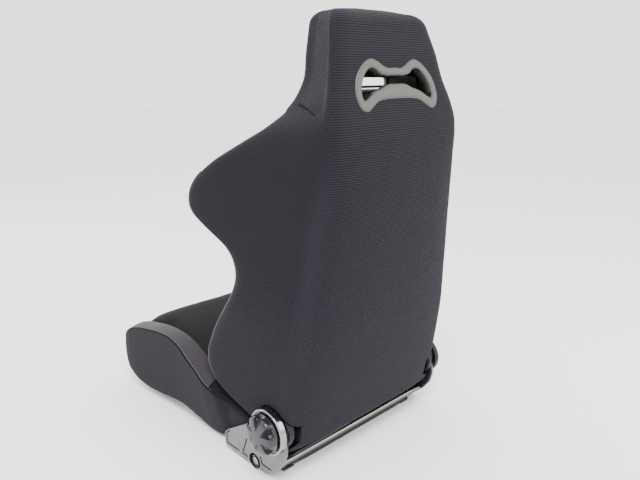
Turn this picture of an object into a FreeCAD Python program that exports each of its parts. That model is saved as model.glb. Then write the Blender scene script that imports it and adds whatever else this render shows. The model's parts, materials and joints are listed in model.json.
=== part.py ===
import FreeCAD
import Part
import math
import os

# Reclining sports seat: a pressed base frame with a sprung cushion, and a tubular backrest that turns
# on a pair of geared recliners driven by one hand knob.
# Millimetres. +Z is up, the occupant faces -Y, and +X is the occupant's left.
# The origin is the centre of the four base mounting holes, at the underside of the side rails.

V = FreeCAD.Vector

# ---- driving dimensions ------------------------------------------------------------------------
MOUNT_SPACING_X = 400.0
MOUNT_SPACING_Y = 300.0
MOUNT_HOLE_R = 4.25

PIVOT_Y = 220.0
PIVOT_Z = 120.0

GAP = 0.4                # clearance between neighbouring soft pieces
SHELL_DEPTH = 46.0       # how far the back shell's side returns reach forward of its corner ridge
SHELL_WALL = 5.0
BACK_CROWN = [(71, 11.0), (663, 11.0), (785, 0.5), (945, 0.5)]    # by height: bulge behind the ridges' line
BACK_BOTTOM_Z = 71.0
PAD_BOTTOM_Z = 128.0
WING_BOTTOM_Z = 112.0
NECK_Z = 760.0
TOP_Z = 945.0

# Corner ridge of the backrest, as (height, half width, depth).
RIDGE = [(71, 239, 253), (245, 240, 279), (518, 207, 313), (663, 186, 332), (735, 184, 335), (760, 179, 331),
         (811, 164, 315), (865, 151, 303), (912, 135, 288), (945, 119, 279)]

# Foremost edge of the side bolsters and the head, as (height, half width, depth).
TIP = [(112, 244, 136), (148, 249, 25), (175, 251, -2), (212, 252, -11), (258, 253, 7), (301, 253, 31),
       (345, 255, 64), (387, 256, 97), (436, 262, 126), (462, 264, 125), (490, 267, 107),
       (523, 272, 41), (545, 276, 4), (581, 282, -2), (620, 279, 16), (661, 269, 68), (700, 247, 133),
       (735, 217, 180), (760, 190, 194), (811, 148, 190), (865, 136, 190), (912, 126, 194),
       (935, 114, 206), (945, 99, 220)]

# Seam between the side bolsters and the centre of the backrest, as (height, half width, depth).
GROOVE = [(112, 182, 175), (212, 180, 172), (301, 178, 168), (436, 172, 200), (581, 165, 208),
          (661, 152, 212), (700, 145, 208), (735, 135, 204), (760, 124, 200)]

TIP_ROUND = 34.0         # how far behind its tip a bolster reaches its full width
TIP_THICKNESS = 62.0

CUSHION_X = 264.0        # outer face of the cushion bolsters
BOLSTER_X = 222.0        # inner face of the cushion bolsters
CUSHION_REAR_Y = 156.0
SEAT_PAN_Z = 80.0        # underside of the centre pad, just over the springs

RAIL_X = 215.0           # outer face of a side rail
RAIL_WALL = 3.0
RAIL_FRONT_Y = -290.0
RAIL_REAR_Y = 215.0
RAIL_TOP_Z = 50.0
FLANGE = 29.0
FRONT_TUBE = (-262.0, 32.0, 12.7)     # depth, height, radius
REAR_BAR = (227.0, 32.0, 7.0)

PLATE_X = 242.0          # inner face of the lower recliner plates
PLATE_WALL = 4.0
COVER_X = 247.0          # inner face of the plastic covers over them
COVER_DEPTH = 6.0
DISC_X = 253.4
DISC_DEPTH = 14.4
DISC_R = 50.0
KNOB_X = 268.8
KNOB_DEPTH = 24.0
KNOB_R = 43.0
KNOB_DOME_R = 120.0
KNOB_LOBES = 6
SHAFT_R = 6.0

ARM_X = 223.2            # inner face of the recliner arms
ARM_WALL = 4.0
HOOP_R = 11.0
HOOP_WALL = 2.0
HOOP_BACK = 26.0         # distance from the ridge forward to the hoop's axis
GEAR_TEETH = 32
RING_TEETH = 33
GEAR_TIP_R = 30.2
RING_TIP_R = 30.7
TOOTH = 2.2
GEAR_X = 231.4
GEAR_WALL = 5.0
WIRE_R = 1.9
WING_ROD_R = 4.0

SLOT_X = 100.0           # half width of the harness slot at its rear end
SLOT_WIDE_X = 122.0      # and at its front end
SLOT_REAR_Y = 288.0
GUARD_BAR = (232.0, 803.0, 2.6)      # depth, height, radius
SLOT_LOW_Z = 796.0
SLOT_HIGH_Z = 822.0
SLOT_FRONT_Y = 189.6      # front face of the head at the slot
TUNNEL_WALL = 2.4
BEZEL_Y = 315.0          # rear face of the back panel at the slot
BEZEL_Z = 811.0
BEZEL_DEPTH = 6.0
HEAD_TILT = 15.0         # degrees that the head leans forward


# ---- helpers -----------------------------------------------------------------------------------
def along(table, z):
    """(half width, depth) at height z, on straight lines between a table's rows."""
    if z <= table[0][0]:
        return table[0][1:]
    for low, high in zip(table, table[1:]):
        if z <= high[0]:
            t = (z - low[0]) / (high[0] - low[0])
            return tuple(a + t * (b - a) for a, b in zip(low[1:], high[1:]))
    return table[-1][1:]


def block(x0, x1, y0, y1, z0, z1):
    return Part.makeBox(x1 - x0, y1 - y0, z1 - z0, V(x0, y0, z0))


def cylinder_x(radius, x0, x1, y, z):
    return Part.makeCylinder(radius, x1 - x0, V(x0, y, z), V(1, 0, 0))


def ring_x(outer, inner, x0, x1, y, z):
    return cylinder_x(outer, x0, x1, y, z).cut(cylinder_x(inner, x0 - 1, x1 + 1, y, z))


def mirrored(shape):
    return shape.mirror(V(0, 0, 0), V(1, 0, 0))


def rounded_edges(points, radius, closed):
    """Straight runs joined by tangent arcs. A corner's arc is smaller where its runs are short."""
    count = len(points)
    edges = []
    first = None
    last = None
    for i in range(count):
        if not closed and i in (0, count - 1):
            enter = leave = points[i]
        else:
            corner = points[i]
            before = points[i - 1] - corner
            after = points[(i + 1) % count] - corner
            turn = math.pi - before.getAngle(after)
            reach = min(radius * math.tan(turn / 2), 0.48 * before.Length, 0.48 * after.Length)
            before.normalize()
            after.normalize()
            enter = corner + before * reach
            leave = corner + after * reach
        if last is not None and (enter - last).Length > 1e-4:
            edges.append(Part.LineSegment(last, enter).toShape())
        if (leave - enter).Length > 1e-3:
            half = turn / 2
            sagitta = reach * (1 / math.sin(half) - 1 / math.tan(half))
            inward = before + after
            inward.normalize()
            edges.append(Part.Arc(enter, corner + inward * sagitta, leave).toShape())
        if first is None:
            first = enter
        last = leave
    if closed and (first - last).Length > 1e-4:
        edges.append(Part.LineSegment(last, first).toShape())
    return edges


def outline(points, radius):
    return Part.Wire(rounded_edges(points, radius, True))


def prism_yz(points, x0, x1, radius=0.01):
    """A closed outline of (y, z) points, extruded along X."""
    wire = outline([V(x0, y, z) for y, z in points], radius)
    return Part.Face(wire).extrude(V(x1 - x0, 0, 0))


def prism_xz(points, y0, y1, radius=0.01):
    """A closed outline of (x, z) points, extruded along Y."""
    wire = outline([V(x, y0, z) for x, z in points], radius)
    return Part.Face(wire).extrude(V(0, y1 - y0, 0))


def rod(points, radius, bend):
    """A round bar along a path whose corners are bent to a radius."""
    path = Part.Wire(rounded_edges(points, bend, False))
    heading = points[1] - points[0]
    section = Part.Wire(Part.Circle(points[0], heading, radius).toShape())
    return path.makePipeShell([section], True, False)


def stack(sections):
    """A solid through flat polygons at rising heights: a list of (z, [(x, y), ...])."""
    wires = []
    for z, points in sections:
        corners = [V(x, y, z) for x, y in points]
        wires.append(Part.makePolygon(corners + corners[:1]))
    return Part.makeLoft(wires, True, True)


def group(shapes):
    return Part.makeCompound(shapes)


def hexagon_bolt(head_r, head_x0, head_x1, shank_r, shank_x0, shank_x1, y, z):
    """A hexagon-headed bolt along X."""
    corners = []
    for i in range(6):
        angle = math.radians(60 * i)
        corners.append((y + head_r * math.cos(angle), z + head_r * math.sin(angle)))
    return prism_yz(corners, head_x0, head_x1).fuse(cylinder_x(shank_r, shank_x0, shank_x1, y, z))


# ---- backrest soft parts -----------------------------------------------------------------------
LEVELS = [71, 112, 128, 148, 175, 212, 258, 301, 345, 387, 436, 462, 490, 523, 545, 581, 620, 661, 700,
          735, 760, 811, 865, 912, 935, 945]


def side_x(z, y):
    """Half width of the backrest's side face at a height and depth."""
    ridge_x, ridge_y = along(RIDGE, z)
    tip_x, tip_y = along(TIP, z)
    t = min(1, (ridge_y - y) / (ridge_y - tip_y - 0.8 * TIP_ROUND))
    return ridge_x + t * (tip_x - ridge_x)


def shell_front(z):
    return along(RIDGE, z)[1] - SHELL_DEPTH


def shell_section(z, inset):
    ridge_x, ridge_y = along(RIDGE, z)
    crown, = along(BACK_CROWN, z)
    front = shell_front(z) - (1 if inset else 0)
    edge = side_x(z, front) - inset
    half = [(edge, front), (ridge_x - inset, ridge_y - inset), (0.5 * ridge_x, ridge_y + crown - inset)]
    return half + [(-x, y) for x, y in reversed(half)]


def wing_section(z):
    tip_x, tip_y = along(TIP, z)
    groove_x, groove_y = along(GROOVE, z)
    rear = shell_front(z) - GAP
    return [(side_x(z, rear) - 1, rear), (tip_x, tip_y + TIP_ROUND), (tip_x - 12, tip_y + 8),
            (tip_x - 0.58 * TIP_THICKNESS, tip_y), (tip_x - TIP_THICKNESS, tip_y + 22),
            (groove_x, groove_y), (groove_x, rear)]


def centre_section(z):
    groove_x, groove_y = along(GROOVE, z)
    rear = shell_front(z) - GAP
    half = [(groove_x - GAP, rear), (groove_x - GAP, groove_y), (0.45 * groove_x, groove_y - 8)]
    return half + [(-x, y) for x, y in reversed(half)]


def head_section(z):
    tip_x, tip_y = along(TIP, z)
    rear = shell_front(z) - GAP
    corner = min(22.0, 0.4 * (rear - tip_y))
    half = [(tip_x, rear), (tip_x, tip_y + corner), (tip_x - corner, tip_y)]
    return half + [(-x, y) for x, y in reversed(half)]


def levels_between(low, high):
    return [z for z in LEVELS if low <= z <= high]


def pivot_hole(radius):
    return cylinder_x(radius, ARM_X - 6, 300, PIVOT_Y, PIVOT_Z)


def shell_envelope():
    return stack([(z, shell_section(z, 0)) for z in LEVELS])


def back_shell():
    inner_levels = [BACK_BOTTOM_Z + SHELL_WALL] + LEVELS[1:-1] + [TOP_Z - SHELL_WALL]
    inner = stack([(z, shell_section(z, SHELL_WALL)) for z in inner_levels])
    shell = shell_envelope().cut(inner)
    shell = shell.cut(pivot_hole(DISC_R + 2)).cut(mirrored(pivot_hole(DISC_R + 2)))
    return shell.cut(tilted(prism_xz(bezel_inner(1.5), BEZEL_Y - 40, BEZEL_Y + 60, 6)))


def wing():
    body = stack([(z, wing_section(z)) for z in levels_between(WING_BOTTOM_Z, NECK_Z)])
    body = body.cut(pivot_hole(DISC_R + 5))
    body = body.cut(block(ARM_X - 1, ARM_X + ARM_WALL + 1, 150, 262, 105, 228))
    return body.cut(rod(wing_rod_path(), WING_ROD_R, 24))


def centre_pad():
    return stack([(z, centre_section(z)) for z in levels_between(PAD_BOTTOM_Z, NECK_Z)])


def head_pad():
    levels = [NECK_Z + GAP] + [z for z in LEVELS if z > NECK_Z]
    body = stack([(z, head_section(z)) for z in levels])
    return body.cut(block(-SLOT_WIDE_X - 3, SLOT_WIDE_X + 3, 100, 320, SLOT_LOW_Z - 3, SLOT_HIGH_Z + 3))


# ---- harness slot trim -------------------------------------------------------------------------
def bezel_outer():
    half = [(24, 841), (35, 846), (47, 853), (64, 858), (80, 852), (98, 841), (114, 822), (122, 800),
            (121, 782), (113, 767), (98, 762), (83, 768), (64, 780), (40, 784)]
    return half + [(-x, z) for x, z in reversed(half)]


def bezel_inner(grow=0.0):
    half = [(34, 826), (45, 830), (57, 838), (70, 838), (86, 831), (98, 818), (105, 797), (103, 783),
            (93, 782), (72, 794), (46, 801), (28, 810)]
    centre_x, centre_z = 60.0, 811.0
    grown = []
    for x, z in half:
        away = V(x - centre_x, 0, z - centre_z)
        away.normalize()
        grown.append((x + grow * away.x, z + grow * away.z))
    return grown + [(-x, z) for x, z in reversed(grown)]


def rear_bezel():
    ring = prism_xz(bezel_outer(), BEZEL_Y - 12, BEZEL_Y + BEZEL_DEPTH, 9)
    ring = ring.cut(prism_xz(bezel_inner(), BEZEL_Y - 20, BEZEL_Y + 20, 6))
    crisp = [e for e in ring.Edges if min(v.Y for v in e.Vertexes) > BEZEL_Y + BEZEL_DEPTH - 0.01]
    return tilted(ring.makeFillet(2.5, crisp)).cut(shell_envelope())


def tilted(shape):
    """Leans a piece of the rear trim forward with the head's panel."""
    return shape.rotated(V(0, BEZEL_Y, BEZEL_Z), V(1, 0, 0), HEAD_TILT)


def slot_half_width(y):
    """The slot's half width, which grows towards the front so that belts can leave at an angle."""
    return SLOT_WIDE_X - (SLOT_WIDE_X - SLOT_X) * (y - SLOT_FRONT_Y) / (SLOT_REAR_Y - SLOT_FRONT_Y)


def slot_wedge(margin):
    corners = [V(side * (slot_half_width(y) + margin), y, SLOT_LOW_Z - margin)
               for side, y in ((1, SLOT_REAR_Y), (1, SLOT_FRONT_Y), (-1, SLOT_FRONT_Y), (-1, SLOT_REAR_Y))]
    height = SLOT_HIGH_Z - SLOT_LOW_Z + 2 * margin
    return Part.Face(Part.makePolygon(corners + corners[:1])).extrude(V(0, 0, height))


def harness_tunnel():
    return slot_wedge(TUNNEL_WALL).cut(slot_wedge(0))


def front_bezel():
    """A flat oval ring on the head's front face, around the harness slot."""
    def oval(margin):
        x = SLOT_WIDE_X + margin
        low = SLOT_LOW_Z - margin
        high = SLOT_HIGH_Z + margin
        return [(x, low), (x, high), (-x, high), (-x, low)]
    rear = SLOT_FRONT_Y - 0.2
    plate = prism_xz(oval(9.0), rear - 7.4, rear, 12)
    return plate.cut(prism_xz(oval(0), rear - 12, rear + 5, 10))


# ---- backrest frame ----------------------------------------------------------------------------
def frame_point(x, z):
    return V(x, along(RIDGE, z)[1] - HOOP_BACK, z)


HOOP_LEG_X = ARM_X - HOOP_R - 0.2
HOOP_LEFT = [frame_point(HOOP_LEG_X, 160), frame_point(HOOP_LEG_X, 245), frame_point(HOOP_LEG_X - 16, 380),
             frame_point(160, 663), frame_point(124, 780), frame_point(111, 908)]


def hoop_path():
    return HOOP_LEFT + [V(-p.x, p.y, p.z) for p in reversed(HOOP_LEFT)]


def hoop_x(z):
    """Half width of the hoop's axis at a height."""
    for low, high in zip(HOOP_LEFT, HOOP_LEFT[1:]):
        if z <= high.z:
            return low.x + (z - low.z) / (high.z - low.z) * (high.x - low.x)
    return HOOP_LEFT[-1].x


def cross_tube(z, radius, hoop_solid):
    x = hoop_x(z)
    centre = frame_point(0, z)
    whole = cylinder_x(radius, -x, x, centre.y, centre.z)
    bored = cylinder_x(radius - 1.5, -x - 1, x + 1, centre.y, centre.z)
    return whole.cut(hoop_solid).cut(bored)


def back_spring(z):
    """One zigzag suspension wire from side to side."""
    reach = hoop_x(z) - HOOP_R - 6
    bends = 12
    step = 2 * reach / bends
    points = [V(-reach, along(RIDGE, z)[1] - HOOP_BACK, z)]
    for i in range(bends):
        rise = 14 if i % 2 else -14
        x = -reach + step * (i + 0.5)
        points.append(V(x - 0.3 * step, points[0].y, z + rise))
        points.append(V(x + 0.3 * step, points[0].y, z + rise))
    points.append(V(reach, points[0].y, z))
    return rod(points, WIRE_R, 5)


def back_clip(z):
    """A folded steel clip that ties a back spring's end to the hoop."""
    x = hoop_x(z) - HOOP_R
    y = frame_point(0, z).y
    return block(x - 12, x + 1, y - 5, y + 5, z - 5, z + 5)


def arm():
    leg_y = frame_point(0, 245).y
    points = [(PIVOT_Y - 34, PIVOT_Z - 20), (PIVOT_Y - 34, PIVOT_Z + 16), (leg_y - 19, 215), (leg_y - 13, 290),
              (leg_y + 12, 296), (leg_y + 12, 200), (PIVOT_Y + 36, PIVOT_Z + 10), (PIVOT_Y + 30, PIVOT_Z - 26),
              (PIVOT_Y, PIVOT_Z - 38)]
    plate = prism_yz(points, ARM_X, ARM_X + ARM_WALL, 16)
    plate = plate.cut(cylinder_x(15.0, ARM_X - 5, ARM_X + 10, PIVOT_Y, PIVOT_Z))
    for y, z in arm_bolt_points():
        plate = plate.cut(cylinder_x(4.1, ARM_X - 5, ARM_X + 10, y, z))
    return plate


def arm_bolt_points():
    return [(frame_point(0, z).y, z) for z in (196.0, 262.0)]


def gear_outline(teeth, root, tip):
    """Tooth flanks as straight lines: (y, z) points around the pivot."""
    points = []
    pitch = 2 * math.pi / teeth
    for i in range(teeth):
        for fraction, radius in ((-0.30, root), (-0.16, tip), (0.16, tip), (0.30, root)):
            angle = (i + fraction) * pitch
            points.append((PIVOT_Y + radius * math.cos(angle), PIVOT_Z + radius * math.sin(angle)))
    return points


def toothed(points, x0, x1):
    corners = [V(x0, y, z) for y, z in points]
    return Part.Face(Part.makePolygon(corners + corners[:1])).extrude(V(x1 - x0, 0, 0))


def recliner_gear():
    """The moving half: a flange welded to the arm, with outward teeth."""
    flange = cylinder_x(44.0, ARM_X + ARM_WALL, GEAR_X - 0.3, PIVOT_Y, PIVOT_Z)
    teeth = toothed(gear_outline(GEAR_TEETH, GEAR_TIP_R - TOOTH, GEAR_TIP_R), GEAR_X - 0.3, GEAR_X + GEAR_WALL)
    return flange.fuse(teeth).cut(cylinder_x(15.0, ARM_X - 5, 260, PIVOT_Y, PIVOT_Z))


def recliner_ring():
    """The fixed half: a ring with inward teeth, welded to the lower plate."""
    body = cylinder_x(46.0, GEAR_X, PLATE_X, PIVOT_Y, PIVOT_Z)
    inside = toothed(gear_outline(RING_TEETH, RING_TIP_R, RING_TIP_R + TOOTH), GEAR_X - 1, GEAR_X + GEAR_WALL + 0.4)
    body = body.cut(inside)
    return body.cut(cylinder_x(SHAFT_R + 4, GEAR_X - 1, 260, PIVOT_Y, PIVOT_Z))


def drive_cam():
    body = cylinder_x(14.95, ARM_X, GEAR_X + GEAR_WALL - 0.4, PIVOT_Y, PIVOT_Z)
    return body.cut(cylinder_x(SHAFT_R, ARM_X - 5, 260, PIVOT_Y, PIVOT_Z))


def wing_rod_path():
    """The bent rod that holds a wing's shape, from the hoop forward into the foam and back."""
    low, high = (frame_point(hoop_x(z) + HOOP_R + WING_ROD_R + 0.2, z) for z in (520, 650))
    return [low, V(236, 120, 545), V(248, 62, 580), V(240, 100, 628), high]


# ---- base --------------------------------------------------------------------------------------
def rail():
    bottom = block(RAIL_X - FLANGE, RAIL_X, RAIL_FRONT_Y, RAIL_REAR_Y, 0, RAIL_WALL)
    web = block(RAIL_X - RAIL_WALL, RAIL_X, RAIL_FRONT_Y, RAIL_REAR_Y, 0, RAIL_TOP_Z)
    top = block(RAIL_X - 20, RAIL_X, RAIL_FRONT_Y, RAIL_REAR_Y, RAIL_TOP_Z - RAIL_WALL, RAIL_TOP_Z)
    body = bottom.fuse(web).fuse(top).removeSplitter()
    for y in (-MOUNT_SPACING_Y / 2, MOUNT_SPACING_Y / 2):
        hole = Part.makeCylinder(MOUNT_HOLE_R, 20, V(MOUNT_SPACING_X / 2, y, -5), V(0, 0, 1))
        body = body.cut(hole)
    for y, z in BRACKET_BOLTS:
        body = body.cut(cylinder_x(5.2, RAIL_X - 10, RAIL_X + 5, y, z))
    return body


BRACKET_BOLTS = [(162.0, 17.0), (86.0, 30.0)]
COVER_OUTLINE = [(54, 8), (54, 40), (66, 52), (139, 99), (180, 112), (262, 112), (266, 84), (259, 58),
                 (241, 34), (219, 14), (197, 5), (120, 5)]
PLATE_OUTLINE = [(60, 12), (60, 38), (69, 48), (141, 90), (172, 102), (175, 142), (198, 163), (222, 168),
                 (248, 160), (264, 140), (262, 84), (254, 60), (238, 38), (216, 18), (196, 9), (120, 9)]


def lower_plate():
    plate = prism_yz(PLATE_OUTLINE, PLATE_X, PLATE_X + PLATE_WALL, 10)
    for y, z in BRACKET_BOLTS:
        plate = plate.cut(cylinder_x(5.2, PLATE_X - 5, PLATE_X + 10, y, z))
    return plate.cut(cylinder_x(SHAFT_R + 4, PLATE_X - 5, PLATE_X + 10, PIVOT_Y, PIVOT_Z))


def recliner_cover():
    """A moulded tray whose face carries shallow decorative grooves and a notch around the rear bolt."""
    body = prism_yz(COVER_OUTLINE, COVER_X, COVER_X + COVER_DEPTH, 9)
    rim = [e for e in body.Edges if min(v.X for v in e.Vertexes) > COVER_X + COVER_DEPTH - 0.01]
    body = body.makeFillet(2.0, rim)
    floor = outline([V(COVER_X, y, z) for y, z in COVER_OUTLINE], 9).makeOffset2D(-3.0)
    body = body.cut(Part.Face(floor).extrude(V(COVER_DEPTH - 2.4, 0, 0)))
    bolt_y, bolt_z = BRACKET_BOLTS[0]
    body = body.cut(cylinder_x(19.0, COVER_X - 5, COVER_X + 20, bolt_y, bolt_z))
    body = body.cut(cylinder_x(SHAFT_R + 4, COVER_X - 5, COVER_X + 20, PIVOT_Y, PIVOT_Z))
    face = COVER_X + COVER_DEPTH
    groove_lines = [[(73, 52), (62, 42), (62, 17), (106, 17)], [(136, 60), (119, 17), (138, 17)],
                    [(182, 39), (187, 23), (216, 23)]]
    for line in groove_lines:
        for start, end in zip(line, line[1:]):
            body = body.cut(groove(start, end, face))
    return body


def groove(start, end, face, width=2.0, depth=1.2):
    """A straight groove with round ends, cut into a face at constant X."""
    a = V(face - depth, *start)
    b = V(face - depth, *end)
    run = b - a
    length = run.Length
    run.normalize()
    side = V(1, 0, 0).cross(run) * (width / 2)
    corners = [a - side, b - side, b + side, a + side]
    bar = Part.Face(Part.makePolygon(corners + corners[:1])).extrude(V(depth + 5, 0, 0))
    ends = [Part.makeCylinder(width / 2, depth + 5, p, V(1, 0, 0)) for p in (a, a + run * length)]
    return bar.fuse(ends)


def trim_ring():
    body = ring_x(DISC_R, DISC_R - 6, DISC_X, DISC_X + DISC_DEPTH, PIVOT_Y, PIVOT_Z)
    crisp = [e for e in body.Edges if min(v.X for v in e.Vertexes) > DISC_X + DISC_DEPTH - 0.01]
    return body.makeFillet(2.4, crisp)


def disc_cover():
    return ring_x(DISC_R - 6, SHAFT_R + 4, DISC_X, DISC_X + DISC_DEPTH - 3, PIVOT_Y, PIVOT_Z)


def blind_disc_cover():
    """The right-hand disc has no knob, so its centre is closed."""
    return cylinder_x(DISC_R - 6, DISC_X + 5, DISC_X + DISC_DEPTH - 1, PIVOT_Y, PIVOT_Z)


def knob():
    body = cylinder_x(KNOB_R, KNOB_X, KNOB_X + KNOB_DEPTH, PIVOT_Y, PIVOT_Z)
    dome = Part.makeSphere(KNOB_DOME_R, V(KNOB_X + KNOB_DEPTH - KNOB_DOME_R, PIVOT_Y, PIVOT_Z))
    body = body.common(dome)
    for i in range(KNOB_LOBES):
        angle = 2 * math.pi * (i + 0.5) / KNOB_LOBES
        y = PIVOT_Y + (KNOB_R + 9) * math.cos(angle)
        z = PIVOT_Z + (KNOB_R + 9) * math.sin(angle)
        body = body.cut(cylinder_x(14.0, KNOB_X + 4, KNOB_X + 60, y, z))
    return body.cut(cylinder_x(SHAFT_R, KNOB_X - 5, KNOB_X + 16, PIVOT_Y, PIVOT_Z))


def bracket_bolt(y, z):
    """A low flanged bolt with a round socket in its head."""
    face = PLATE_X + PLATE_WALL + 0.1
    body = cylinder_x(5.0, 200, face + 2, y, z).fuse(cylinder_x(14.5, face, face + 1.8, y, z))
    body = body.fuse(cylinder_x(9.5, face, face + 4.0, y, z))
    return body.cut(cylinder_x(3.0, face + 1.5, face + 10, y, z))


def bracket_nut(y, z):
    return ring_x(9.0, 5.05, RAIL_X - RAIL_WALL - 8, RAIL_X - RAIL_WALL - 0.1, y, z)


def bracket_spacer(y, z):
    return ring_x(10.0, 5.2, RAIL_X + 0.1, PLATE_X - 0.1, y, z)


# ---- cushion -----------------------------------------------------------------------------------
BOLSTER_SIDE = [(-317, 25), (-334, 36), (-357, 46), (-375, 59), (-390, 72), (-400, 90), (-396, 115),
                (-384, 145), (-356, 171), (-324, 193), (-262, 208), (-192, 216), (-142, 216), (-96, 209),
                (-50, 180), (2, 131), (28, 117), (136, 86), (156, 80), (156, 46), (46, 46), (40, 25)]
BOLSTER_PLAN = [(BOLSTER_X, -400), (244, -400), (257, -390), (262, -372), (CUSHION_X, -340), (CUSHION_X, 40),
                (241, 54), (240, 160), (BOLSTER_X, 160)]
PAD_SIDE = [(-313, 25), (-330, 36), (-352, 46), (-369, 59), (-383, 72), (-393, 90), (-389, 115),
            (-378, 145), (-356, 176), (-324, 204), (-298, 210), (-250, 203), (-100, 160), (0, 128),
            (60, 112), (156, 102), (156, SEAT_PAN_Z), (-293, SEAT_PAN_Z), (-293, 25)]


def cushion_bolster():
    plan = [V(x, y, 0) for x, y in BOLSTER_PLAN]
    column = Part.Face(Part.makePolygon(plan + plan[:1])).extrude(V(0, 0, 260))
    return column.common(prism_yz(BOLSTER_SIDE, BOLSTER_X, CUSHION_X + 5, 8))


def cushion_pad():
    reach = BOLSTER_X - GAP
    return prism_yz(PAD_SIDE, -reach, reach, 8)


def seat_spring(x):
    """One zigzag suspension wire from front to rear."""
    z = SEAT_PAN_Z - 2 * WIRE_R - 4
    front = RAIL_FRONT_Y + 35
    rear = CUSHION_REAR_Y - 2
    bends = 14
    step = (rear - front) / bends
    points = [V(x, front, z)]
    for i in range(bends):
        swing = 18 if i % 2 else -18
        y = front + step * (i + 0.5)
        points.append(V(x + swing, y - 0.3 * step, z))
        points.append(V(x + swing, y + 0.3 * step, z))
    points.append(V(x, rear, z))
    return rod(points, WIRE_R, 7)


def seat_clip(x, y):
    """A folded steel clip that holds a seat spring's end on its beam."""
    z = SEAT_PAN_Z - 2 * WIRE_R - 7
    return block(x - 5, x + 5, y - 4, y + 4, z, z + 8)


def spring_beam(y):
    """An angle across the rails that holds the springs' ends."""
    low = RAIL_TOP_Z
    high = SEAT_PAN_Z - 2 * WIRE_R - 7
    foot = block(-RAIL_X + 1, RAIL_X - 1, y - 12, y + 12, low, low + 2.5)
    wall = block(-RAIL_X + 1, RAIL_X - 1, y - 1.5, y + 1.5, low, high)
    return foot.fuse(wall).removeSplitter()


def underside_cloth():
    """The stitched cloth that closes the cushion's underside between the rails."""
    return block(-RAIL_X + FLANGE + 4, RAIL_X - FLANGE - 4, -288, 205, 12, 14)


def rear_hem():
    """The padded hem of the cushion cover, hanging below the rear bar."""
    points = [(-196, 12), (-196, 22), (196, 22), (196, 12), (150, 9), (-150, 9)]
    return prism_xz(points, REAR_BAR[0] - 12, REAR_BAR[0] - 4, 5)


# ---- assembly ----------------------------------------------------------------------------------
nodes = {}


def add_pair(name, shape):
    nodes["left_" + name] = shape
    nodes["right_" + name] = mirrored(shape)


def build_base():
    add_pair("side_rail", rail())
    y, z, radius = FRONT_TUBE
    inside = RAIL_X - RAIL_WALL - 0.1
    whole = cylinder_x(radius, -inside, inside, y, z)
    nodes["front_cross_tube"] = whole.cut(cylinder_x(radius - 1.6, -inside - 1, inside + 1, y, z))
    y, z, radius = REAR_BAR
    nodes["rear_cross_bar"] = cylinder_x(radius, -PLATE_X + 0.1, PLATE_X - 0.1, y, z)
    nodes["mount_nuts"] = group([
        ring_z(7.0, MOUNT_HOLE_R, RAIL_WALL + 0.05, RAIL_WALL + 7, sx * MOUNT_SPACING_X / 2, sy * MOUNT_SPACING_Y / 2)
        for sx in (-1, 1) for sy in (-1, 1)])
    add_pair("lower_recliner_plate", lower_plate())
    add_pair("recliner_cover", recliner_cover())
    both = [(y, z) for y, z in BRACKET_BOLTS]
    for name, make in (("bracket_bolts", bracket_bolt), ("bracket_nuts", bracket_nut),
                       ("bracket_spacers", bracket_spacer)):
        left = [make(y, z) for y, z in both]
        nodes[name] = group(left + [mirrored(s) for s in left])
    add_pair("recliner_ring", recliner_ring())
    bush = ring_x(SHAFT_R + 3.95, SHAFT_R, GEAR_X + GEAR_WALL + 0.6, PLATE_X + PLATE_WALL, PIVOT_Y, PIVOT_Z)
    add_pair("shaft_bush", bush)
    add_pair("trim_ring", trim_ring())
    nodes["left_disc_cover"] = disc_cover()
    nodes["right_disc_cover"] = mirrored(blind_disc_cover())
    nodes["front_spring_beam"] = spring_beam(RAIL_FRONT_Y + 30)
    nodes["rear_spring_beam"] = spring_beam(CUSHION_REAR_Y)
    places = (-150, -90, -30, 30, 90, 150)
    nodes["seat_springs"] = group([seat_spring(x) for x in places])
    nodes["seat_spring_clips"] = group([
        seat_clip(x, y) for x in places for y in (RAIL_FRONT_Y + 38, CUSHION_REAR_Y - 5)])
    nodes["cushion_pad"] = cushion_pad()
    add_pair("cushion_bolster", cushion_bolster())
    nodes["underside_cloth"] = underside_cloth()
    nodes["rear_hem"] = rear_hem()


def ring_z(outer, inner, z0, z1, x, y):
    whole = Part.makeCylinder(outer, z1 - z0, V(x, y, z0), V(0, 0, 1))
    return whole.cut(Part.makeCylinder(inner, z1 - z0 + 2, V(x, y, z0 - 1), V(0, 0, 1)))


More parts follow.
